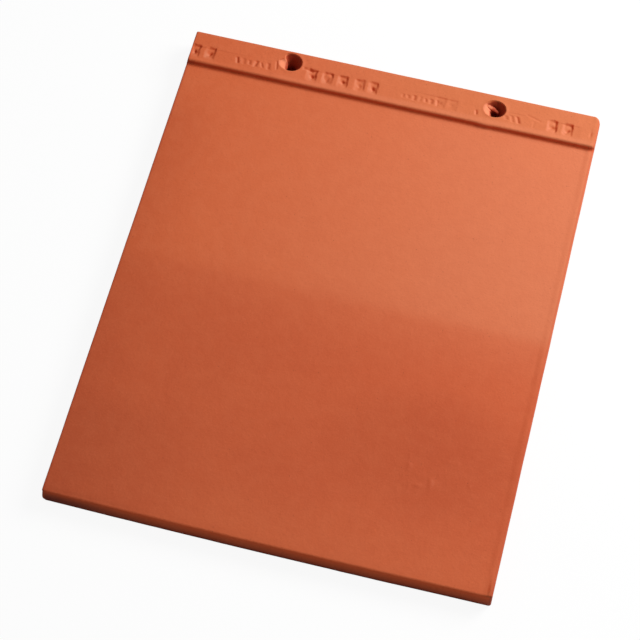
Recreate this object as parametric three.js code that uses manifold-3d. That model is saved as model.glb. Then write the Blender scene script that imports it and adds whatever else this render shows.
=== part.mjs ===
// Clay roof tile: one flat rectangular tile, extruded across its width, cut and fired in one piece.
// A low raised band crosses the head end, and two nail holes are punched down through it.
//
// Units are millimetres. X runs along the width, Y from the tail edge to the head edge, and Z up.
// The origin is the centre of the bearing face, so the tile lies flat on Z = 0 with its weather face up.

import * as THREE from "three";
import { mergeVertices } from "three/addons/utils/BufferGeometryUtils.js";
import Module from "manifold-3d";

// The plate.
const TILE_WIDTH = 280;
const TILE_LENGTH = 351;
const PLATE_THICKNESS = 14;
const TAIL_BOW = 0.9; // how far the middle of the tail edge stands out past its ends
const TAIL_TOP_RADIUS = 1.6;
const TAIL_BOTTOM_RADIUS = 1.1;
const HEAD_TOP_RADIUS = 1.2;
const HEAD_BOTTOM_RADIUS = 1.2;

// The raised band across the head, with the shallow track that the marking roller leaves along it.
const BAND_DEPTH = 24.2; // head edge to the band's front wall
const BAND_RISE = 3.5; // above the plate's weather face
const BAND_ARRIS_RADIUS = 0.8;
const BAND_FOOT_RADIUS = 1.6;
const TRACK_FROM_HEAD = 11;
const TRACK_FRONT_MARGIN = 2.4; // land left between the track and the band's front arris
const TRACK_DEPTH = 0.2;
const TRACK_EDGE_RUN = 0.5;

// The two cut sides. The wire eases their arrises a little, and drags the right one's head corner round.
const LEFT_SIDE = {
  topRun: 0.6,
  topFall: 0.6,
  bottomRadius: 1.6,
  tailCornerRadius: 1.6,
  headCornerRadius: 1.4,
};
const RIGHT_SIDE = {
  topRun: 1.2,
  topFall: 0.9,
  bottomRadius: 1,
  tailCornerRadius: 1.6,
  headCornerRadius: 4.8,
};

// The nail holes, each placed from its own side of the tile and from the head edge.
const LEFT_HOLE_FROM_SIDE = 68.6;
const LEFT_HOLE_FROM_HEAD = 8.8;
const RIGHT_HOLE_FROM_SIDE = 70.2;
const RIGHT_HOLE_FROM_HEAD = 11.1;
const HOLE_MOUTH_RADIUS = 7;
const HOLE_THROAT_RADIUS = 5.4;
const HOLE_THROAT_DEPTH = 2.5; // below the band's top
const HOLE_BORE_RADIUS = 3.5;
const HOLE_TAPER_DEPTH = 9; // below the band's top, where the taper meets the bore

// Faceting.
const ARC_SEGMENTS = 5;
const SIDE_STATIONS = 6;
const MIDDLE_STATIONS = 12;
const HOLE_SEGMENTS = 32;

const CUT_CLEARANCE = 1; // how far each cutter runs past the faces it opens
const HALF_TURN = Math.PI;
const QUARTER_TURN = Math.PI / 2;

const wasm = await Module();
wasm.setup();

const tailEnd = -TILE_LENGTH / 2;
const headEnd = TILE_LENGTH / 2;
const bandWall = headEnd - BAND_DEPTH;
const bandTop = PLATE_THICKNESS + BAND_RISE;

// How far a quarter-round arris has fallen at a distance in from its edge.
function arrisFall(distance, run, fall) {
  if (distance >= run) return 0;
  const along = 1 - distance / run;
  return fall * (1 - Math.sqrt(Math.max(0, 1 - along * along)));
}

function arc(centreY, centreZ, radius, start, end) {
  const points = [];
  for (let i = 0; i <= ARC_SEGMENTS; i += 1) {
    const angle = start + ((end - start) * i) / ARC_SEGMENTS;
    const y = centreY + radius * Math.cos(angle);
    const z = centreZ + radius * Math.sin(angle);
    points.push(new THREE.Vector2(y, z));
  }
  return points;
}

// The tile's section in the YZ plane at one place across the width, drawn anticlockwise as seen from +X.
function sectionAt(x) {
  const side = x < 0 ? LEFT_SIDE : RIGHT_SIDE;
  const fromSide = TILE_WIDTH / 2 - Math.abs(x);
  const fall = arrisFall(fromSide, side.topRun, side.topFall);
  const lift = arrisFall(fromSide, side.bottomRadius, side.bottomRadius);
  const bow = TAIL_BOW * (x / (TILE_WIDTH / 2)) ** 2;
  const tail = tailEnd + bow + arrisFall(fromSide, side.tailCornerRadius, side.tailCornerRadius);
  const head = headEnd - arrisFall(fromSide, side.headCornerRadius, side.headCornerRadius);
  const plateFace = PLATE_THICKNESS - fall;
  const bandFace = bandTop - fall;
  const trackFace = bandFace - TRACK_DEPTH;
  const trackBack = headEnd - TRACK_FROM_HEAD;
  const trackFront = bandWall + TRACK_FRONT_MARGIN;
  const tailBottom = TAIL_BOTTOM_RADIUS;
  const headBottom = HEAD_BOTTOM_RADIUS;
  const headTop = HEAD_TOP_RADIUS;
  const bandArris = BAND_ARRIS_RADIUS;
  const bandFoot = Math.min(BAND_FOOT_RADIUS, BAND_RISE - bandArris);
  const tailTop = TAIL_TOP_RADIUS;
  return [
    ...arc(tail + tailBottom, lift + tailBottom, tailBottom, HALF_TURN, 3 * QUARTER_TURN),
    ...arc(head - headBottom, lift + headBottom, headBottom, -QUARTER_TURN, 0),
    ...arc(head - headTop, bandFace - headTop, headTop, 0, QUARTER_TURN),
    new THREE.Vector2(trackBack, bandFace),
    new THREE.Vector2(trackBack - TRACK_EDGE_RUN, trackFace),
    new THREE.Vector2(trackFront + TRACK_EDGE_RUN, trackFace),
    new THREE.Vector2(trackFront, bandFace),
    ...arc(bandWall + bandArris, bandFace - bandArris, bandArris, QUARTER_TURN, HALF_TURN),
    ...arc(bandWall - bandFoot, plateFace + bandFoot, bandFoot, 0, -QUARTER_TURN),
    ...arc(tail + tailTop, plateFace - tailTop, tailTop, QUARTER_TURN, HALF_TURN),
  ];
}

// Distances in from a side at which its rounded arrises and corners need a section, closest at the edge.
function sideStations(side) {
  const deepest = Math.max(side.topRun, side.bottomRadius, side.tailCornerRadius, side.headCornerRadius);
  const distances = [];
  for (let i = 0; i <= SIDE_STATIONS; i += 1) {
    distances.push(deepest * (1 - Math.cos((QUARTER_TURN * i) / SIDE_STATIONS)));
  }
  return distances;
}

function stationsAcross() {
  const left = sideStations(LEFT_SIDE).map((distance) => -TILE_WIDTH / 2 + distance);
  const right = sideStations(RIGHT_SIDE).map((distance) => TILE_WIDTH / 2 - distance);
  right.reverse();
  const first = left[left.length - 1];
  const last = right[0];
  const middle = [];
  for (let i = 1; i < MIDDLE_STATIONS; i += 1) {
    middle.push(first + ((last - first) * i) / MIDDLE_STATIONS);
  }
  return [...left, ...middle, ...right];
}

// Joins the sections at all the stations into one closed skin, with a flat cap on each side of the tile.
function loftAcross(stations) {
  const sections = stations.map(sectionAt);
  const count = sections[0].length;
  const positions = [];
  sections.forEach((section, i) => {
    section.forEach((point) => positions.push(stations[i], point.x, point.y));
  });
  const index = [];
  for (let station = 0; station + 1 < sections.length; station += 1) {
    for (let i = 0; i < count; i += 1) {
      const here = station * count + i;
      const next = station * count + ((i + 1) % count);
      index.push(here, next, here + count);
      index.push(next, next + count, here + count);
    }
  }
  const lastStart = (sections.length - 1) * count;
  THREE.ShapeUtils.triangulateShape(sections[0], []).forEach(([a, b, c]) => index.push(a, c, b));
  THREE.ShapeUtils.triangulateShape(sections[sections.length - 1], []).forEach(([a, b, c]) => {
    index.push(lastStart + a, lastStart + b, lastStart + c);
  });
  const geometry = new THREE.BufferGeometry();
  geometry.setAttribute("position", new THREE.Float32BufferAttribute(positions, 3));
  geometry.setIndex(index);
  return geometry;
}

// What the punch takes out: a wide worn mouth, a taper and a straight bore, turned about the hole's axis.
function holeCutter(x, y) {
  const mouthSlope = (HOLE_MOUTH_RADIUS - HOLE_THROAT_RADIUS) / HOLE_THROAT_DEPTH;
  const profile = [
    new THREE.Vector2(0, -CUT_CLEARANCE),
    new THREE.Vector2(HOLE_BORE_RADIUS, -CUT_CLEARANCE),
    new THREE.Vector2(HOLE_BORE_RADIUS, bandTop - HOLE_TAPER_DEPTH),
    new THREE.Vector2(HOLE_THROAT_RADIUS, bandTop - HOLE_THROAT_DEPTH),
    new THREE.Vector2(HOLE_MOUTH_RADIUS + mouthSlope * CUT_CLEARANCE, bandTop + CUT_CLEARANCE),
    new THREE.Vector2(0, bandTop + CUT_CLEARANCE),
  ];
  const cutter = new THREE.LatheGeometry(profile, HOLE_SEGMENTS);
  cutter.rotateX(QUARTER_TURN);
  cutter.translate(x, y, 0);
  return cutter;
}

function toSolid(geometry) {
  const bare = geometry.clone();
  bare.deleteAttribute("normal");
  bare.deleteAttribute("uv");
  const merged = mergeVertices(bare, 1e-4);
  return new wasm.Manifold(
    new wasm.Mesh({
      numProp: 3,
      vertProperties: new Float32Array(merged.attributes.position.array),
      triVerts: new Uint32Array(merged.index.array),
    }),
  );
}

function toGeometry(solid) {
  const mesh = solid.getMesh();
  const geometry = new THREE.BufferGeometry();
  geometry.setAttribute("position", new THREE.BufferAttribute(mesh.vertProperties, 3));
  geometry.setIndex(new THREE.BufferAttribute(mesh.triVerts, 1));
  geometry.computeVertexNormals();
  return geometry;
}

function buildTile() {
  const leftHole = holeCutter(LEFT_HOLE_FROM_SIDE - TILE_WIDTH / 2, headEnd - LEFT_HOLE_FROM_HEAD);
  const rightHole = holeCutter(TILE_WIDTH / 2 - RIGHT_HOLE_FROM_SIDE, headEnd - RIGHT_HOLE_FROM_HEAD);
  const solid = toSolid(loftAcross(stationsAcross()))
    .subtract(toSolid(leftHole))
    .subtract(toSolid(rightHole));
  const terracotta = new THREE.MeshStandardMaterial({ color: 0xc6623e, roughness: 0.85, metalness: 0 });
  const tile = new THREE.Mesh(toGeometry(solid), terracotta);
  tile.name = "tile";
  return tile;
}

const roofTile = new THREE.Group();
roofTile.add(buildTile());

export default roofTile;
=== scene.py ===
import math

import bmesh
import bpy
import numpy as np
from mathutils import Matrix, Vector


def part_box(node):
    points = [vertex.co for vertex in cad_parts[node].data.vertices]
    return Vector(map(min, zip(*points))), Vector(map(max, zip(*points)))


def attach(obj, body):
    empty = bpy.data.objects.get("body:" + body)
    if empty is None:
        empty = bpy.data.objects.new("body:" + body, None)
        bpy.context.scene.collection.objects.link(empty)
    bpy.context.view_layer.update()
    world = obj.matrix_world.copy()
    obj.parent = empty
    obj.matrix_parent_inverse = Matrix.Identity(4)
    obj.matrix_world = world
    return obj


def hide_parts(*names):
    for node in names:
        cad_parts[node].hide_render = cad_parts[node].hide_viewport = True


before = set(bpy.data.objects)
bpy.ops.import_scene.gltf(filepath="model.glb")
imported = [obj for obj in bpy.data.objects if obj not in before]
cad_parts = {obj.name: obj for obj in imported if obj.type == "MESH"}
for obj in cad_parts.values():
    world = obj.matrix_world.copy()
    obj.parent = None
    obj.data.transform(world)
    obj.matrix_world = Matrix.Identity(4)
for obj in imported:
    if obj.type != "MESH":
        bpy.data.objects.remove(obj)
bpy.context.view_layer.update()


# ---------------------------------------------------------------------------------------------
# The tile: one slab of red clay, extruded across its width, cut off with a wire, pressed by a
# marking roller, punched for two nails and fired. Its skin is worked out in millimetres, first
# as a grid of points over the weather face, which is closer where the clay holds finer detail.

MM = 0.001
low, high = (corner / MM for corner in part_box("tile"))
LEFT, RIGHT = low.x, high.x
TAIL, HEAD = low.y, high.y
BAND_TOP = high.z
BAND_RISE = 3.5  # over the plate
BAND_DEPTH = 25.1  # from the head edge to the band's wall
BAND_ARRIS_RADIUS = 1.8
BAND_FOOT_RADIUS = 1.6
PLATE_FACE = BAND_TOP - BAND_RISE
BAND_WALL = HEAD - BAND_DEPTH

# How the slab is eased along each side: how far in and how far down at the top, and the radius
# at the foot.
EASES = {
    "tail": (1.6, 1.6, 1.1),
    "right": (1.2, 0.9, 1.0),
    "head": (1.2, 1.2, 1.2),
    "left": (0.6, 0.6, 1.6),
}

# How far apart the grid's points are, and where they lie closer.
PLATE_STEP = 2.6
SIDE_STEP = 0.45
SIDE_STRIP = 8.0  # how wide the close strip along the right side is
WALL_STEP = 1.3
WALL_RISE_STEP = 0.5
CURVE_STEPS = 6  # round the band's arris, and round its foot
BAND_STEP = 0.4
BAND_MARKED = (BAND_WALL + 2.0, HEAD - 8.5)
SCAR_STEP = 0.55
SCAR_ACROSS = (64.0, 118.0)  # where crumbs have scarred the plate
SCAR_ALONG = (-127.0, -90.0)
ROUNDING = 0.001  # so that a gap of whole steps isn't split once more


def spaced(start, end, step):
    """Places from start to end, about step apart."""
    count = max(1, round(abs(end - start) / step))
    return [start + (end - start) * n / count for n in range(count + 1)]


def closer(places, step, start, end):
    """The same places, with more between them from start to end, no further apart than step."""
    result = []
    for here, there in zip(places, places[1:]):
        count = 1
        if start < (here + there) / 2 < end:
            count = math.ceil(abs(there - here) / step - ROUNDING)
        result += [here + (there - here) * n / count for n in range(count)]
    return result + [places[-1]]


def quarter_turn(steps):
    """The angles of a quarter turn in even steps, without its start."""
    return [math.pi / 2 * n / steps for n in range(1, steps + 1)]


plate_columns = spaced(LEFT + EASES["left"][0], RIGHT - EASES["right"][0], PLATE_STEP)
plate_columns = closer(plate_columns, SIDE_STEP, LEFT, LEFT + EASES["left"][0] + PLATE_STEP)
plate_columns = closer(plate_columns, SIDE_STEP, RIGHT - SIDE_STRIP, RIGHT)
scar_columns = closer(plate_columns, SCAR_STEP, *SCAR_ACROSS)
wall_columns = closer(plate_columns, WALL_STEP, LEFT, RIGHT)
band_columns = closer(plate_columns, BAND_STEP, LEFT, RIGHT)

# Rows from the head to the tail, each as its place, its height and its columns: the band, its
# arris, its wall, its foot and the plate.
band_places = spaced(HEAD - EASES["head"][0], BAND_WALL + BAND_ARRIS_RADIUS, 2 * BAND_STEP)
rows = [(y, BAND_TOP, band_columns) for y in closer(band_places, BAND_STEP, *BAND_MARKED)]
for turn in quarter_turn(CURVE_STEPS):
    y = BAND_WALL + BAND_ARRIS_RADIUS * (1 - math.sin(turn))
    rows.append((y, BAND_TOP - BAND_ARRIS_RADIUS * (1 - math.cos(turn)), wall_columns))
wall_foot = PLATE_FACE + BAND_FOOT_RADIUS
for z in spaced(BAND_TOP - BAND_ARRIS_RADIUS, wall_foot, WALL_RISE_STEP)[1:]:
    rows.append((BAND_WALL, z, wall_columns))
for turn in quarter_turn(CURVE_STEPS):
    y = BAND_WALL - BAND_FOOT_RADIUS * (1 - math.cos(turn))
    rows.append((y, wall_foot - BAND_FOOT_RADIUS * math.sin(turn), wall_columns))
plate_places = spaced(BAND_WALL - BAND_FOOT_RADIUS, TAIL + EASES["tail"][0], PLATE_STEP)
plate_places = closer(plate_places, SIDE_STEP, TAIL, TAIL + EASES["tail"][0] + PLATE_STEP)
plate_places = closer(plate_places, SCAR_STEP, *SCAR_ALONG)
for y in plate_places[1:]:
    rows.append((y, PLATE_FACE, scar_columns if SCAR_ALONG[0] < y < SCAR_ALONG[1] else plate_columns))

vertices = []
faces = []
grid = []
for y, z, columns in rows:
    grid.append({x: len(vertices) + n for n, x in enumerate(columns)})
    vertices += [(x, y, z) for x in columns]
for upper, lower in zip(grid, grid[1:]):
    shared = [x for x in upper if x in lower]
    for start, end in zip(shared, shared[1:]):
        above = range(upper[end], upper[start] - 1, -1)
        below = range(lower[start], lower[end] + 1)
        faces.append((*above, *below))

# The grid's edge, anticlockwise from above. Every point knows its side and, on the left and the
# right, how far along the surface it lies from the head, as a share.
along = [0.0, *np.cumsum([math.dist(a[:2], b[:2]) for a, b in zip(rows, rows[1:])])]
shares = [length / along[-1] for length in along]
right_points = [list(row.values())[-1] for row in grid]
left_points = [list(row.values())[0] for row in grid]
edge = [(point, "tail", 0.0) for point in list(grid[-1].values())[:-1]]
edge += [(point, "right", share) for point, share in list(zip(right_points, shares))[:0:-1]]
edge += [(point, "head", 0.0) for point in list(grid[0].values())[:0:-1]]
edge += [(point, "left", share) for point, share in list(zip(left_points, shares))[:-1]]

TAIL_BULGE = 0.8  # how far the middle of the tail's face stands out past its two arrises
CORNER_REACH = 20.0  # how far from a corner a side's points start to spread out evenly
ARRIS_STEPS = 4
FACE_STEPS = 8


def outline_place(side, x, y):
    """The place on the slab's outline straight out from a point of the grid's edge."""
    if side in ("tail", "head"):
        start, end = LEFT + EASES["left"][0], RIGHT - EASES["right"][0]
        x = LEFT + (x - start) * (RIGHT - LEFT) / (end - start)
        return x, TAIL if side == "tail" else HEAD
    start, end = TAIL + EASES["tail"][0], HEAD - EASES["head"][0]
    y = TAIL + (y - start) * (HEAD - TAIL) / (end - start)
    return LEFT if side == "left" else RIGHT, y


def side_places(point, side, share):
    """The places below a point of the grid's edge: over the arris, down the side, round the foot."""
    x, y, z = vertices[point]
    fall, foot = EASES[side][1:]
    out_x, out_y = outline_place(side, x, y)
    even_y = HEAD - share * (HEAD - TAIL)
    from_corner = min(1.0, (out_y - TAIL) / CORNER_REACH, (HEAD - out_y) / CORNER_REACH)
    places = []
    for turn in quarter_turn(ARRIS_STEPS):
        out = math.sin(turn)
        places.append((x + (out_x - x) * out, y + (out_y - y) * out, z - fall * (1 - math.cos(turn))))
    for n in range(1, FACE_STEPS + 1):
        down = n / FACE_STEPS
        spread = from_corner * math.sin(down * math.pi / 2) if side in ("left", "right") else 0.0
        bulge = TAIL_BULGE * 4 * down * (1 - down) if side == "tail" else 0.0
        height = z - fall + (foot - z + fall) * down
        places.append((out_x, out_y + (even_y - out_y) * spread - bulge, height))
    side_x, side_y, _ = places[-1]
    foot_x = min(max(side_x, LEFT + EASES["left"][2]), RIGHT - EASES["right"][2])
    foot_y = min(max(side_y, TAIL + EASES["tail"][2]), HEAD - EASES["head"][2])
    for turn in quarter_turn(ARRIS_STEPS):
        under = 1 - math.cos(turn)
        height = foot * (1 - math.sin(turn))
        places.append((side_x + (foot_x - side_x) * under, side_y + (foot_y - side_y) * under, height))
    return places


rings = [[point for point, _, _ in edge]]
for ring_places in zip(*(side_places(*edge_point) for edge_point in edge)):
    rings.append(list(range(len(vertices), len(vertices) + len(ring_places))))
    vertices += ring_places
for above, below in zip(rings, rings[1:]):
    for n in range(len(above)):
        after = (n + 1) % len(above)
        faces.append((above[n], below[n], below[after], above[after]))
faces.append(tuple(reversed(rings[-1])))


# What the tools leave on the weather face, as heights over the plain section: the roller's
# track and its marks, clay lifted round the nail holes and along the wire's right side, crumbs
# that fell on the wet clay and were pressed in, and the slow waves of a slab that dried unevenly.

TRACK_FROM_HEAD = 11.0
TRACK_FROM_WALL = 1.8
TRACK_DEPTH = 0.2
TRACK_SLOPES = (0.5, 2.5)  # how wide its head and tail slopes are
MARK_SIZE = (8.2, 11.2)
MARK_SLOPES = (2.6, 1.9, 3.2, 2.0)  # how wide its left, right, tail and head slopes are
MARK_DOT = (1.4, 1.5)  # half size
MARK_MIDDLE = HEAD - 15.5
MARKS = (  # from the left side to the middle, and how deep
    (3.2, 1.2),
    (13.9, 1.2),
    (84.6, 1.2),
    (95.3, 1.2),
    (105.9, 1.1),
    (117.6, 1.1),
    (126.9, 1.1),
    (173.0, 0.4),
    (181.3, 0.3),
    (249.4, 1.3),
    (260.0, 1.3),
)
TICK_MIDDLE = HEAD - 16.0
TICK_GROUPS = (  # from the left side to the first, how many, how far apart, and the deepest
    (33.0, 6, 4.3, 0.6),
    (147.8, 7, 3.9, 0.5),
    (218.4, 3, 3.8, 0.5),
)
TICK_LENGTHS = (2.6, 5.2)
TICK_HALF_WIDTHS = (0.8, 1.4)
TICK_LEANS = (-0.45, 0.2)
SCRATCHES = (  # from where, to where, half width, depth
    (-61.5, 164.3, -56.0, 163.3, 0.9, 0.5),
    (92.0, 164.9, 101.0, 162.0, 0.7, 0.2),
    (57.8, 159.8, 58.3, 157.6, 0.8, 0.5),
    (-80.6, 164.5, -79.6, 159.0, 0.7, 0.35),
    (97.2, 160.5, 97.0, 156.0, 0.7, 0.12),
)
NICK = (135.6, 160.0, 1.0, 2.4, 0.3)  # place, half size across and along, depth
HOLES = {  # the last value of each hole is the depth where painted shade starts down its throat
    "left_hole": {"middle": (LEFT + 68.6, HEAD - 8.8), "mouth": (8.0, 7.15), "shade_from": 1.5},
    "right_hole": {"middle": (RIGHT - 70.2, HEAD - 11.1), "mouth": (7.7, 6.7), "shade_from": 1.9},
}
CRUMBS = (  # place, half size across and along, height
    (88.0, -111.5, 1.5, 4.2, 0.26),
    (72.9, -103.4, 1.8, 2.6, 0.22),
    (71.6, -96.2, 0.9, 2.6, 0.09),
    (80.5, -107.5, 3.0, 2.2, 0.12),
    (80.5, -114.6, 3.2, 1.3, 0.18),
    (75.3, -117.5, 1.3, 3.4, 0.11),
    (68.5, -120.0, 1.4, 2.4, 0.10),
    (70.3, -110.5, 1.0, 2.4, 0.08),
    (91.5, -103.5, 2.2, 1.4, 0.13),
    (94.0, -109.0, 1.8, 3.0, -0.08),
    (95.4, -94.5, 2.2, 1.3, 0.10),
    (101.2, -95.0, 1.2, 1.4, 0.11),
    (111.6, -107.8, 1.4, 1.4, 0.15),
    (114.7, -121.3, 1.8, 0.9, -0.10),
)


def smooth(t):
    """0 below t = 0, 1 above t = 1 and a soft rise between them."""
    t = np.clip(t, 0.0, 1.0)
    return t * t * (3.0 - 2.0 * t)


def uneven(x, y, size, seed):
    """Soft random heights from -1 to 1, with hills and hollows about size apart."""
    table = np.random.default_rng(seed).uniform(-1.0, 1.0, (257, 257))
    u, v = np.asarray(x) / size + 1000.0, np.asarray(y) / size + 1000.0
    i, j = np.floor(u).astype(int), np.floor(v).astype(int)
    a, b = smooth(u - i), smooth(v - j)
    i, j = i % 256, j % 256
    near = table[i, j] * (1 - a) + table[i + 1, j] * a
    far = table[i, j + 1] * (1 - a) + table[i + 1, j + 1] * a
    return near * (1 - b) + far * b


def rough(x, y, size, seed, layers=3):
    """Layers of uneven(), each half the size and half the height of the one before."""
    total = sum(uneven(x, y, size / 2**n, seed + n) / 2**n for n in range(layers))
    return total / sum(0.5**n for n in range(layers))


def pressed_mark(x, y, middle, depth):
    """A plain pressed square, deepest along its head side, with a dot in its middle."""
    u = x - middle + 0.5 * uneven(x, y, 3.1, 29)
    v = y - MARK_MIDDLE + 0.5 * uneven(x, y, 2.9, 35)
    half_width, half_length = MARK_SIZE[0] / 2, MARK_SIZE[1] / 2
    left, right, tail, head = MARK_SLOPES
    across = smooth((half_width + u) / left) * smooth((half_width - u) / right)
    along = smooth((half_length + v) / tail) * smooth((half_length - v) / head)
    dot = 1.1 * np.exp(-((u / MARK_DOT[0]) ** 2) - ((v + 0.4) / MARK_DOT[1]) ** 2)
    worn = 0.85 + 0.3 * uneven(x, y, 3.2, 33)
    return -depth * worn * across * along * (0.65 + 0.35 * v / MARK_SIZE[1] + dot)


def pressed_tick(x, y, middle, depth, length, half_width, lean):
    """A short slanting stroke, with a little clay pushed up on its right."""
    slant = (x - middle - lean * (y - TICK_MIDDLE)) / half_width
    end = smooth(0.5 - (np.abs(y - TICK_MIDDLE) - length / 2))
    return end * depth * (0.25 * np.exp(-((slant - 1.8) ** 2)) - np.exp(-(slant**2)))


def scratched(x, y, start_x, start_y, end_x, end_y, half_width, depth):
    """A straight scratch with soft sides."""
    run_x, run_y = end_x - start_x, end_y - start_y
    share = ((x - start_x) * run_x + (y - start_y) * run_y) / (run_x**2 + run_y**2)
    share = np.clip(share, 0.0, 1.0)
    away = np.hypot(x - start_x - share * run_x, y - start_y - share * run_y)
    return -depth * np.exp(-((away / half_width) ** 2))


def hole_lip(x, y, middle, mouth):
    """The clay lifted in a ring round a nail hole."""
    u, v = x - middle[0], y - middle[1]
    away = np.hypot(u / mouth[0], v / mouth[1])
    lip = 0.16 + 0.1 * uneven(u, v, 4.0, 41)
    return lip * np.exp(-(((away - 1.05) / 0.14) ** 2))


def band_relief(x, y):
    """What the roller and the punch leave on the band. The track is faint in places."""
    track_edge = HEAD - TRACK_FROM_HEAD + 0.45 * uneven(x, 0 * x, 23.0, 31)
    kept = 0.15 + 0.85 * smooth(0.4 + 1.2 * uneven(x, 0 * x, 17.0, 37))
    head_slope, tail_slope = TRACK_SLOPES
    in_track = smooth((track_edge - y) / head_slope)
    height = -TRACK_DEPTH * kept * in_track * smooth((y - BAND_WALL - TRACK_FROM_WALL) / tail_slope)
    random = np.random.default_rng(7)
    for from_left, depth in MARKS:
        height += pressed_mark(x, y, LEFT + from_left, depth)
    for start, count, pitch, deepest in TICK_GROUPS:
        for n in range(count):
            middle = LEFT + start + n * pitch + random.uniform(-0.3, 0.3)
            depth = deepest * random.uniform(0.4, 1.0)
            shape = [random.uniform(*span) for span in (TICK_LENGTHS, TICK_HALF_WIDTHS, TICK_LEANS)]
            height += pressed_tick(x, y, middle, depth, *shape)
    for scratch in SCRATCHES:
        height += scratched(x, y, *scratch)
    for hole in HOLES.values():
        height += hole_lip(x, y, hole["middle"], hole["mouth"])
    return height


def right_lip(x, y):
    """The low ridge that the wire lifts along the right side, highest at the tail's corner."""
    from_right = RIGHT - x
    lip = 0.26 + 0.08 * uneven(0 * y, y, 21.0, 43)
    lip *= 1 - 0.5 * smooth((y - BAND_WALL) / 2)
    ridge = lip * (smooth((6.5 - from_right) / 4.0) - 0.5 * smooth((2.4 - from_right) / 2.0))
    return ridge + 0.7 * smooth((TAIL + 14.0 - y) / 8.0) * smooth((4.0 - from_right) / 2.6)


def crumb(x, y, middle_x, middle_y, half_x, half_y, height):
    """A pressed crumb, or the pit of one that has gone, with an uneven outline."""
    u = (x - middle_x) / half_x + 0.25 * uneven(x, y, 1.9, 47)
    v = (y - middle_y) / half_y + 0.25 * uneven(x, y, 1.7, 53)
    return height * np.exp(-(u**2 + v**2))


def relief(x, y):
    """Height of the weather face over its plain section."""
    height = 0.06 * rough(x, y, 46.0, 11) + 0.012 * rough(x, y, 5.0, 17, 2)
    height += smooth((y - BAND_WALL - 0.6) / 0.6) * band_relief(x, y)
    height += right_lip(x, y)
    nick_x, nick_y, half_x, half_y, nick_depth = NICK
    height -= nick_depth * np.exp(-(((x - nick_x) / half_x) ** 2) - ((y - nick_y) / half_y) ** 2)
    tail_wear = 0.1 + 0.22 * smooth((-60.0 - x) / 60.0)
    height -= tail_wear * smooth(1 - (y - TAIL - EASES["tail"][0]) / 4.5) ** 2
    return height + sum(crumb(x, y, *pressed) for pressed in CRUMBS)


skin = np.array(vertices)
x, y, z = skin.T.copy()
FADE_MARGIN = 1.6  # down the sides the relief fades out between this far in from both faces
on_top = np.clip((z - FADE_MARGIN) / (PLATE_FACE - 2 * FADE_MARGIN), 0.0, 1.0)
lifted = z + relief(x, y) * on_top

# The four corners are rounded as seen from above. Each line gives the corner, the way in from it
# and its radius.
CORNERS = (
    (LEFT, TAIL, 1, 1, 1.6),
    (RIGHT, TAIL, -1, 1, 1.6),
    (RIGHT, HEAD, -1, -1, 4.8),
    (LEFT, HEAD, 1, -1, 1.4),
)
for corner_x, corner_y, in_x, in_y, radius in CORNERS:
    out_x = np.maximum(1 - np.abs(x - corner_x) / radius, 0)
    out_y = np.maximum(1 - np.abs(y - corner_y) / radius, 0)
    squeeze = np.maximum(out_x, out_y) / np.maximum(np.hypot(out_x, out_y), 0.001)
    skin[:, 0] += in_x * radius * out_x * (1 - squeeze) * (out_y > 0)
    skin[:, 1] += in_y * radius * out_y * (1 - squeeze) * (out_x > 0)

# No side is dead straight, the tail stands out in the middle, the band's ends stand in a little,
# and its wall is pushed out where the right hole was punched.
TAIL_BOW = 0.9
BAND_END_SETBACK = 0.45
PUSHED_WALL = (66.0, 5.5, 0.5)  # where, half width, how far
from_middle = (x - (LEFT + RIGHT) / 2) / ((RIGHT - LEFT) / 2)
near_left, near_right = smooth(1 - (x - LEFT) / 30), smooth(1 - (RIGHT - x) / 30)
near_tail, near_head = smooth(1 - (y - TAIL) / 20), smooth(1 - (HEAD - y) / 12)
near_wall = np.exp(-(((y - BAND_WALL) / 3.0) ** 2)) * smooth((z - PLATE_FACE + 0.4) / 0.8)
skin[:, 0] += 0.13 * rough(y, z, 38.0, 61) * near_left + 0.15 * rough(y, z, 27.0, 67) * near_right
end_of_band = smooth(1 - (x - LEFT) / 5) - smooth(1 - (RIGHT - x) / 5)
skin[:, 0] += BAND_END_SETBACK * smooth((z - PLATE_FACE) / 3.2) * end_of_band
skin[:, 1] += TAIL_BOW * from_middle**2 * smooth((HEAD - 30 - y) / (HEAD - 30 - TAIL))
skin[:, 1] += 0.1 * rough(x, z, 19.0, 71) * near_tail
skin[:, 1] += (0.1 * rough(x, z, 33.0, 79) + 0.22 - 0.18 * from_middle) * near_head
skew = 0.1 * rough(x, 0 * x, 26.0, 73) + 0.28 - 0.15 * from_middle + 0.3 * from_middle**2
pushed_x, pushed_half, pushed_out = PUSHED_WALL
skin[:, 1] += (skew - pushed_out * np.exp(-(((x - pushed_x) / pushed_half) ** 2))) * near_wall
skin[:, 2] = lifted

tile_mesh = bpy.data.meshes.new("tile_clay")
tile_mesh.from_pydata((skin * MM).tolist(), [], faces)
tile_mesh.validate()
tile = bpy.data.objects.new("tile_clay", tile_mesh)
bpy.context.scene.collection.objects.link(tile)


# The two nail holes: a slanted punch is driven down through the band while the clay is soft. It
# drags the clay of the left edge down in a slope, and tears a rough throat above the bore.
# Angles are in degrees, anticlockwise from the right side of a hole.

BORE_RADIUS = 3.5
BORE_DEPTH = 9.0
TAPER_CURVE = 0.8  # 1 would be a straight taper
TORN_DEPTHS = (0.0, 7.2, 0.4)  # from where, to where, and how far apart the punch's rings are
PLAIN_DEPTHS = (8.4, BAND_TOP, 1.5)  # the same below the torn part
CUT_CLEARANCE = 1.2
PUNCH_SEGMENTS = 80


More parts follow.
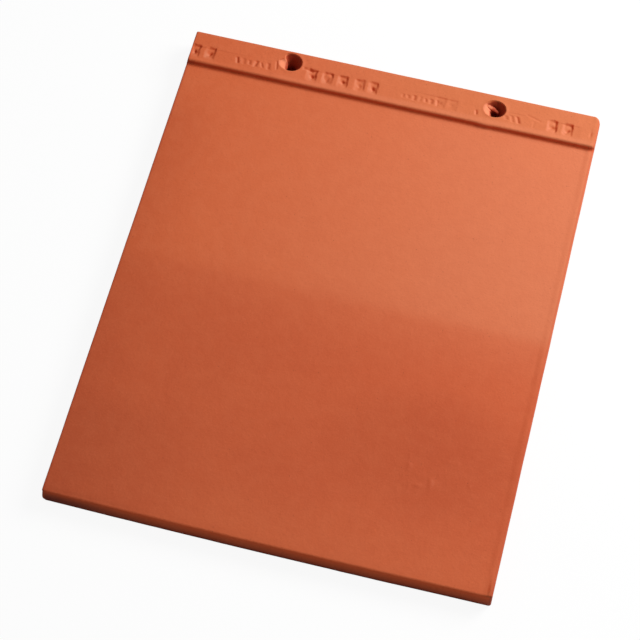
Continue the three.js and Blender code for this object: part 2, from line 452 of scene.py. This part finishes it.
def left_hole_drag(angle, depth):
    """How far the clay dragged down by the punch stands in from the left hole's wall."""
    slope = smooth((angle - 118) / 46) * (1 - smooth((angle - 205) / 55))
    bulge = math.exp(-(((angle - 156) / 17) ** 2))
    below = smooth(depth / 3.5)
    reach = 2.9 * below * slope + 2.4 * bulge * (1 - below)
    reach -= 0.4 * smooth(1 - depth) * slope * smooth((angle - 172) / 10)
    return reach * (1 - smooth((depth - 4.6) / 3.4))


def right_hole_drag(angle, depth):
    """The same for the right hole."""
    slope = math.exp(-(((angle - 203) / 44) ** 4)) * smooth((angle - 132) / 34)
    reach = (2.1 * smooth(depth / 3.2) - 0.3 * smooth(1 - depth)) * slope
    reach += 1.1 * smooth(depth / 2) * math.exp(-(((angle - 180) / 14) ** 2))
    return reach * (1 - smooth((depth - 4.2) / 3.0))


def join_to_tile(name, shape, operation):
    """Adds a closed shape to the tile, or takes it away."""
    mesh = bpy.data.meshes.new(name)
    shape.to_mesh(mesh)
    shape.free()
    other = bpy.data.objects.new(name, mesh)
    bpy.context.scene.collection.objects.link(other)
    change = tile.modifiers.new(name, "BOOLEAN")
    change.operation = operation
    change.solver = "EXACT"
    change.object = other
    bpy.context.view_layer.objects.active = tile
    bpy.ops.object.modifier_apply(modifier=name)
    bpy.data.objects.remove(other)


def closed_tube(rings):
    """A closed tube through rings of places, with a flat face at each end, all facing outwards."""
    tube = bmesh.new()
    levels = [[tube.verts.new(Vector(place) * MM) for place in ring] for ring in rings]
    for above, below in zip(levels, levels[1:]):
        for n in range(len(above)):
            after = (n + 1) % len(above)
            tube.faces.new((above[n], below[n], below[after], above[after]))
    tube.faces.new(levels[0])
    tube.faces.new(list(reversed(levels[-1])))
    bmesh.ops.recalc_face_normals(tube, faces=tube.faces)
    return tube


def punch(name, drag, seed):
    """Takes one hole's clay out of the tile, and leaves a torn wall."""
    middle_x, middle_y = HOLES[name]["middle"]
    mouth_x, mouth_y = HOLES[name]["mouth"]
    top, torn_end, torn_step = TORN_DEPTHS
    plain_start, bottom, plain_step = PLAIN_DEPTHS
    depths = spaced(top - CUT_CLEARANCE, torn_end, torn_step)
    depths += spaced(plain_start, bottom + CUT_CLEARANCE, plain_step)
    levels = []
    for depth in depths:
        taper = min(1.0, max(0.0, depth) / BORE_DEPTH)
        torn = 0.12 + 0.38 * smooth(depth) * smooth((10 - depth) / 3)
        level = []
        for n in range(PUNCH_SEGMENTS):
            turn = 2 * math.pi * n / PUNCH_SEGMENTS
            mouth = math.hypot(mouth_x * math.cos(turn), mouth_y * math.sin(turn))
            grain = float(rough(math.cos(turn) * 5 + 20, math.sin(turn) * 5 + depth * 0.8, 3.0, seed))
            r = mouth + (BORE_RADIUS - mouth) * taper**TAPER_CURVE - drag(math.degrees(turn), depth)
            r += torn * grain
            level.append((middle_x + r * math.cos(turn), middle_y + r * math.sin(turn), BAND_TOP - depth))
        levels.append(level)
    join_to_tile(name, closed_tube(levels), "DIFFERENCE")


punch("left_hole", left_hole_drag, 83)
punch("right_hole", right_hole_drag, 89)

# A torn tongue of clay hangs from the right hole's left edge, down and across its throat.
TONGUE = (  # place from the hole's middle, depth, half width
    (-6.0, 2.0, 2.5, 1.6),
    (-4.3, 2.2, 2.9, 1.9),
    (-2.6, 2.1, 3.3, 1.8),
    (-1.1, 1.8, 3.8, 1.5),
    (0.6, 1.4, 4.6, 1.2),
    (2.4, 0.9, 5.6, 0.8),
)
TONGUE_RINGS = 20
TONGUE_SEGMENTS = 14
TONGUE_ACROSS = (0.45, 0.9)  # its width runs mostly to the head, and somewhat to the right
TONGUE_FLATNESS = 0.8  # how high it is for its width
root_x, root_y = HOLES["right_hole"]["middle"]
across_x, across_y = TONGUE_ACROSS
tongue_rings = []
for share in np.linspace(0, len(TONGUE) - 1, TONGUE_RINGS):
    parts = (np.interp(share, range(len(TONGUE)), part) for part in zip(*TONGUE))
    from_x, from_y, depth, half_width = parts
    ring = []
    for n in range(TONGUE_SEGMENTS):
        turn = 2 * math.pi * n / TONGUE_SEGMENTS
        around = 1.5 * (math.cos(turn) + math.sin(turn))
        r = half_width * (1 + 0.2 * rough(share * 1.6, around, 1.0, 97, 2))
        out, up = r * math.cos(turn), r * math.sin(turn)
        height = BAND_TOP - depth + TONGUE_FLATNESS * up
        ring.append((root_x + from_x + across_x * out, root_y + from_y + across_y * out, height))
    tongue_rings.append(ring)
join_to_tile("tongue", closed_tube(tongue_rings), "UNION")
tile_mesh = tile.data
tile_mesh.polygons.foreach_set("use_smooth", [True] * len(tile_mesh.polygons))
tile_mesh.set_sharp_from_angle(angle=math.radians(55))


# Fired clay: an iron-red body, matt and fine grained. The head half is lighter than the tail
# half, and paler still towards the right, where a sheen is painted in. Shade and light are painted
# on the slopes, the band's wall, the tail's face and in the nail holes. The die leaves faint drag
# lines across the width, and the wire leaves them down the cut sides. Places on it are in
# millimetres, as in the mesh.


class Wire:
    """A shader value. Arithmetic on it adds the Math nodes that work it out."""

    def __init__(self, tree, socket=None):
        self.tree = tree
        self.socket = socket

    def node(self, kind, settings, inputs, output=0):
        """Adds a node: its settings first, then its sockets' values or links."""
        made = self.tree.nodes.new(kind)
        for key, value in settings.items():
            setattr(made, key, value)
        for key, value in inputs.items():
            if isinstance(value, Wire):
                self.tree.links.new(value.socket, made.inputs[key])
            else:
                made.inputs[key].default_value = value
        if not made.outputs:
            return None
        return Wire(self.tree, made.outputs[output])

    def math(self, operation, *values):
        return self.node("ShaderNodeMath", {"operation": operation}, dict(enumerate(values)))

    def __add__(self, other):
        return self.math("ADD", self, other)

    def __sub__(self, other):
        return self.math("SUBTRACT", self, other)

    def __rsub__(self, other):
        return self.math("SUBTRACT", other, self)

    def __mul__(self, other):
        return self.math("MULTIPLY", self, other)

    __radd__ = __add__
    __rmul__ = __mul__

    def __abs__(self):
        return self.math("ABSOLUTE", self)

    def root(self):
        return self.math("SQRT", self)

    def rise(self, start, end, low=0.0, high=1.0):
        """Low at start, high at end and a smooth rise between them."""
        settings = {"interpolation_type": "SMOOTHSTEP"}
        inputs = {"Value": self, "From Min": start, "From Max": end, "To Min": low, "To Max": high}
        return self.node("ShaderNodeMapRange", settings, inputs)

    def fall(self, start, end):
        """1 at start, 0 at end and a smooth fall between them."""
        return self.rise(start, end, 1.0, 0.0)

    def blend(self, first, second):
        """A colour between two colours: the first where this is 0 and the second where it is 1."""
        return self.node("ShaderNodeMix", {"data_type": "RGBA"}, {0: self, 6: first, 7: second}, 2)

    def parts(self):
        """The x, y and z of a vector."""
        return [self.node("ShaderNodeSeparateXYZ", {}, {0: self}, axis) for axis in "XYZ"]

    def scaled(self, factor):
        """A vector made longer or shorter."""
        return self.node("ShaderNodeVectorMath", {"operation": "SCALE"}, {0: self, "Scale": factor})

    def noise(self, size, detail, seed, stretch=(1, 1, 1)):
        """Noise at a place, with features about size millimetres across, drawn out by stretch."""
        shift = (seed * 1000, seed * 1700, seed * 2300)
        inputs = {"Vector": self, "Location": shift, "Scale": tuple(1 / s for s in stretch)}
        moved = self.node("ShaderNodeMapping", {"vector_type": "POINT"}, inputs)
        inputs = {"Vector": moved, "Scale": 1 / size, "Detail": detail, "Roughness": 0.55}
        return self.node("ShaderNodeTexNoise", {}, inputs)


def screen(red, green, blue):
    """A colour from its screen values of 0 to 255, as the shader wants it."""
    return tuple(((c / 255 + 0.055) / 1.055) ** 2.4 for c in (red, green, blue)) + (1.0,)


PALE_CLAY = screen(226, 128, 86)
CLOUD_MIDDLE = (85.0, -92.0)
CLOUD_REACH = (83.3, 52.6)


def clay_tone_and_sheen(place, mottling):
    """The clay's colour with a painted sheen, and how far into the deeper half below the middle a place
    lies.

    The clay is paler towards the right, where a sheen from the lamp is painted in, deeper below a
    line across the middle, and darker along the left side, in one cloud on the right and at the
    tail's left.
    """
    x, y, _ = place.parts()
    # Painted sheen: the colour grows paler towards the right, nearer the lamp.
    colour = x.rise(-190, 190).blend(screen(212, 100, 56), screen(208, 115, 77))
    wavy = y + (mottling - 0.5) * 4
    below = 1 - wavy.rise(-6, 6) * 0.38 - wavy.rise(-50, 28) * 0.62
    tail_end = y.fall(-175, -125) * x.rise(-100, -20)
    below_colour = tail_end.blend(screen(198, 89, 50), screen(204, 96, 55))
    colour = below.blend(colour, below_colour)
    cloud_x = (x - CLOUD_MIDDLE[0]) * (1 / CLOUD_REACH[0])
    cloud_y = (y - CLOUD_MIDDLE[1]) * (1 / CLOUD_REACH[1])
    cloud = (cloud_x * cloud_x + cloud_y * cloud_y).fall(0.0, 1.0)
    left_side = x.fall(-160, -90) * (0.6 - y.rise(100, 140) * 0.5)
    colour = (cloud * 0.65 + left_side).blend(colour, screen(184, 78, 41))
    low_left = x.fall(-120, -40) * y.fall(-120, -90)
    return (low_left * 0.3).blend(colour, screen(170, 72, 40)), below


def tinted_band(place, colour):
    """The band is duller towards the right, and rubbed paler behind its arris."""
    x, y, _ = place.parts()
    from_wall = y - BAND_WALL
    duller = from_wall.rise(0.0, 2.0) * x.rise(-70, 70)
    colour = (duller * 0.4).blend(colour, screen(198, 108, 58))
    rubbed = from_wall.rise(0.8, 2.0) * from_wall.fall(3.5, 6.5)
    return (rubbed * x.rise(-140, 0) * 0.2).blend(colour, screen(224, 138, 104))


def painted_slope_shade_and_light(place, colour):
    """Tints the slopes of the marks and crumbs, but not the tile's arrises or the band's wall.

    Shade is painted on the slopes that face away from the lamp, towards the tail and the left,
    as a deeper red. Light is painted on the slopes that face the lamp, which are paler.
    """
    x, y, _ = place.parts()
    faces_x, faces_y, faces_z = place.node("ShaderNodeTexCoord", {}, {}, "Normal").parts()
    from_side = RIGHT - abs(x)
    from_wall = y - BAND_WALL
    on_face = faces_z.rise(0.35, 0.65) * from_side.rise(1.5, 2.5) * (y - TAIL).rise(3.0, 6.0)
    on_face *= 1 - from_wall.rise(-3.5, -2.5) * from_wall.fall(1.8, 2.6)
    # How far a slope faces away from the lamp.
    dragged = faces_x * -0.8 - faces_y * 0.6
    # Painted shade: slopes that face away from the lamp are a deeper red.
    colour = (on_face * dragged.rise(0.0, 0.6)).blend(colour, screen(206, 68, 20))
    # Painted light: slopes that face the lamp are paler.
    return (on_face * dragged.fall(-0.4, 0.0) * 0.8).blend(colour, screen(202, 119, 86))


def painted_wall_shade(place, colour):
    """Painted shade on the band's wall, which faces away from the lamp: a deeper red, darker towards the
    left and at its left end.
    """
    x, y, z = place.parts()
    from_wall = y - BAND_WALL
    wall = from_wall.rise(-2.0, 0.0) * from_wall.fall(0.6, 1.6)
    wall *= (BAND_TOP - z).rise(0.2, 1.2) * (z - PLATE_FACE).rise(-0.9, -0.4)
    # Painted shade: the wall's deeper red, then darker at the left and at its left end.
    colour = (wall * 0.85).blend(colour, screen(212, 82, 36))
    colour = (wall * x.fall(-140, -20) * 0.22).blend(colour, screen(130, 42, 20))
    left_end = (x - LEFT).fall(3.5, 6.5)
    return (wall * left_end * 0.2).blend(colour, screen(110, 34, 18))


def painted_tail_light_and_shade(place, colour):
    """Painted light and shade on the tail's face: a deeper red, brightest along its arris and darkest at
    its foot and left.
    """
    x, y, z = place.parts()
    tail_side = (y - TAIL).fall(0.8, 2.0)
    from_top = PLATE_FACE - z
    colour = (tail_side * from_top.rise(0.0, 2.0) * 0.8).blend(colour, screen(204, 84, 38))
    # Painted light along the tail's arris, and painted shade towards its foot and left end.
    arris = tail_side * from_top.rise(0.1, 0.7) * z.rise(10.0, 13.0)
    colour = (arris * 0.6).blend(colour, screen(238, 94, 42))
    colour = (tail_side * z.fall(2.0, 12.0) * 0.85).blend(colour, screen(116, 36, 22))
    left_foot = x.fall(-130, -60) * z.fall(6.0, 16.0)
    return (tail_side * left_foot).blend(colour, screen(120, 44, 28))


def tinted_rim(place, colour):
    """The arrises of both sides are darker, and darkest at the tail's corners."""
    x, y, _ = place.parts()
    rim = (RIGHT - abs(x)).fall(0.8, 2.2) * (0.5 + y.fall(-168, -160) * 0.35)
    return rim.blend(colour, screen(174, 70, 38))


def painted_hole_light_and_shade(place, colour, middle, shade_from):
    """Painted light on the slope at the left of a nail hole, which faces the lamp, and painted shade down
    its throat.
    """
    x, y, z = place.parts()
    from_x, from_y = x - middle[0], y - middle[1]
    away = (from_x * from_x + from_y * from_y).root()
    inside = away.fall(7.6, 8.2)
    depth = BAND_TOP - z
    # Painted light: the slope that faces the lamp is paler.
    paler = depth.rise(0.2, 0.8) * from_x.fall(-3.5, -1.5) * from_y.fall(1.2, 3.0)
    colour = (inside * paler).blend(colour, screen(224, 130, 92))
    # Painted shade: the far walls and the throat are darker.
    far_side = (from_x.rise(-4.0, -1.5) + from_y.rise(2.2, 4.0)) * away.rise(2.8, 4.0)
    darker = depth.rise(0.1, 2.0) * far_side + depth.rise(shade_from, shade_from + 2.4)
    darker += from_x.rise(-3.8, -0.8) * depth.rise(1.0, 3.0) * 0.65
    return (inside * darker.rise(0.0, 1.0) * 0.75).blend(colour, screen(152, 38, 10))


def fired_clay():
    """The tile's material, from the kiln's colour to the finest grain."""
    material = bpy.data.materials.new("fired_clay")
    material.use_nodes = True
    material.node_tree.nodes.clear()
    clay = Wire(material.node_tree)
    place = clay.node("ShaderNodeTexCoord", {}, {}, "Object").scaled(1 / MM)
    mottling = place.noise(50, 4.0, 3.0)
    grain = place.noise(1.1, 3.0, 7.0)

    colour, below = clay_tone_and_sheen(place, mottling)
    # The band's tones, then painted shade and light on the slopes, the band's wall and the tail's face,
    # then the side rims.
    for tinted in (tinted_band, painted_slope_shade_and_light, painted_wall_shade, painted_tail_light_and_shade, tinted_rim):
        colour = tinted(place, colour)

    # The body is uneven: broad mottling, patches, blotches, and single pale and dark grains.
    colour = (mottling.rise(0.35, 0.7) * 0.12).blend(colour, screen(216, 108, 62))
    patches = place.noise(11, 3.0, 5.0).rise(0.4, 0.8)
    colour = (patches * (0.05 + below * 0.1)).blend(colour, screen(186, 80, 44))
    blotches = place.noise(8, 1.0, 41.0).rise(0.35, 0.7)
    colour = (blotches * (0.09 - below * 0.04)).blend(colour, PALE_CLAY)
    colour = (grain.rise(0.5, 0.75) * 0.12).blend(colour, PALE_CLAY)
    colour = (grain.fall(0.25, 0.45) * 0.15).blend(colour, screen(138, 54, 30))

    # Grit: a few dark iron specks.
    settings, inputs = {"feature": "F1"}, {"Vector": place, "Scale": 0.42}
    cells = clay.node("ShaderNodeTexVoronoi", settings, inputs, "Distance")
    specks = cells.fall(0.08, 0.2) * place.noise(4, 1.0, 17.0).rise(0.64, 0.7)
    colour = (specks * 0.35).blend(colour, screen(104, 44, 30))

    # Painted light and shade in the two nail holes.
    for hole in HOLES.values():
        colour = painted_hole_light_and_shade(place, colour, hole["middle"], hole["shade_from"])

    # Fine relief: dents, grain, dust and pocks, with the die's lines across the faces and the
    # wire's lines down the two sides.
    x, _, _ = place.parts()
    on_side = (RIGHT - abs(x)).fall(0.3, 0.6)
    die_lines = place.noise(1.3, 2.0, 11.0, (30, 1, 1)) * (1 - on_side)
    wire_lines = place.noise(1.1, 2.0, 13.0, (1, 1, 25)) * on_side
    dents = place.noise(3.0, 2.0, 29.0)
    dust = place.noise(0.5, 2.0, 23.0)
    height = dents * 2.6 + grain * 0.5 + dust * 0.25
    height += die_lines * 0.2 + wire_lines * 0.9 - specks * 0.6
    bump = clay.node("ShaderNodeBump", {}, {"Strength": 0.3, "Distance": 0.2 * MM, "Height": height})
    surface = {
        "Base Color": colour,
        "Roughness": 0.7 + grain * 0.14,
        "Normal": bump,
        "Specular IOR Level": 0.25,
    }
    finish = clay.node("ShaderNodeBsdfPrincipled", {}, surface)
    clay.node("ShaderNodeOutputMaterial", {}, {"Surface": finish})
    return material


tile_mesh.materials.clear()
tile_mesh.materials.append(fired_clay())
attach(tile, "root")
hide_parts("tile")


# ---------------------------------------------------------------------------------------------
# The floor: a plain pale sheet of paper that the tile lies on. It looks white, gives back about
# half of the light that falls on it, and keeps a soft trace of the tile's shadow.

FLOOR_REACH = 6.0
FLOOR_DROP = 0.0003  # the gap under the tile, so that the two faces don't touch
GLOW_SHARE = 0.92  # how much of the paper's white is its own, and takes no shadow
floor_mesh = bpy.data.meshes.new("floor")
turns = ((-1, -1), (1, -1), (1, 1), (-1, 1))
corners = [(FLOOR_REACH * x, FLOOR_REACH * y, -FLOOR_DROP) for x, y in turns]
floor_mesh.from_pydata(corners, [], [(0, 1, 2, 3)])
floor = bpy.data.objects.new("floor", floor_mesh)
bpy.context.scene.collection.objects.link(floor)
paper = bpy.data.materials.new("white_paper")
paper.use_nodes = True
paper.node_tree.nodes.clear()
sheet = Wire(paper.node_tree)
seen = sheet.node("ShaderNodeLightPath", {}, {}, "Is Camera Ray")
grey_paper = sheet.node("ShaderNodeBsdfDiffuse", {}, {"Color": (0.55, 0.55, 0.55, 1.0)})
lit_paper = sheet.node("ShaderNodeBsdfDiffuse", {}, {"Color": (0.95, 0.95, 0.95, 1.0)})
glow = sheet.node("ShaderNodeEmission", {}, {"Color": (1, 1, 1, 1), "Strength": 1.0})
white = sheet.node("ShaderNodeMixShader", {}, {0: GLOW_SHARE, 1: lit_paper, 2: glow})
mixed = sheet.node("ShaderNodeMixShader", {}, {0: seen, 1: grey_paper, 2: white})
sheet.node("ShaderNodeOutputMaterial", {}, {"Surface": mixed})
floor_mesh.materials.append(paper)


# ---------------------------------------------------------------------------------------------
# Soft studio light: one round lamp, low beyond the head on the right, and a dim even surround
# that the camera sees as white.

key_data = bpy.data.lights.new("key", "AREA")
key_data.shape = "DISK"
key_data.size = 0.7
key_data.energy = 16.45
key = bpy.data.objects.new("key", key_data)
key.location = (0.73, 0.54, 0.74)
key.rotation_euler = key.location.to_track_quat("Z", "Y").to_euler()
bpy.context.scene.collection.objects.link(key)

SURROUND = 0.25
world = bpy.data.worlds.new("surround")
bpy.context.scene.world = world
world.use_nodes = True
world.node_tree.nodes.clear()
sky = Wire(world.node_tree)
seen = sky.node("ShaderNodeLightPath", {}, {}, "Is Camera Ray")
strength = SURROUND + seen * (1 - SURROUND)
light = sky.node("ShaderNodeBackground", {}, {"Color": (1, 1, 1, 1), "Strength": strength})
sky.node("ShaderNodeOutputWorld", {}, {"Surface": light})


# ---------------------------------------------------------------------------------------------
# The camera, looking down over the tail from a little to the right of the middle.

AZIMUTH, ELEVATION, ROLL = (math.radians(a) for a in (12.7346, 61.6824, 1.5434))
DISTANCE = 1388.81 * MM
LOOK_AT = Vector((-4.84, -17.88, 13.5)) * MM
back = Vector(
    (
        math.sin(AZIMUTH) * math.cos(ELEVATION),
        -math.cos(AZIMUTH) * math.cos(ELEVATION),
        math.sin(ELEVATION),
    )
)
level_right = Vector((math.cos(AZIMUTH), math.sin(AZIMUTH), 0))
level_up = back.cross(level_right)
right = level_right * math.cos(ROLL) + level_up * math.sin(ROLL)
up = level_up * math.cos(ROLL) - level_right * math.sin(ROLL)
camera_data = bpy.data.cameras.new("camera")
camera_data.lens = 123.25
camera_data.sensor_width = 36.0
camera_data.clip_start = 0.05
camera = bpy.data.objects.new("camera", camera_data)
turned = Matrix((right, up, back)).transposed().to_4x4()
camera.matrix_world = Matrix.Translation(LOOK_AT + back * DISTANCE) @ turned
bpy.context.scene.collection.objects.link(camera)
bpy.context.scene.camera = camera
bpy.context.scene.view_settings.view_transform = "Standard"
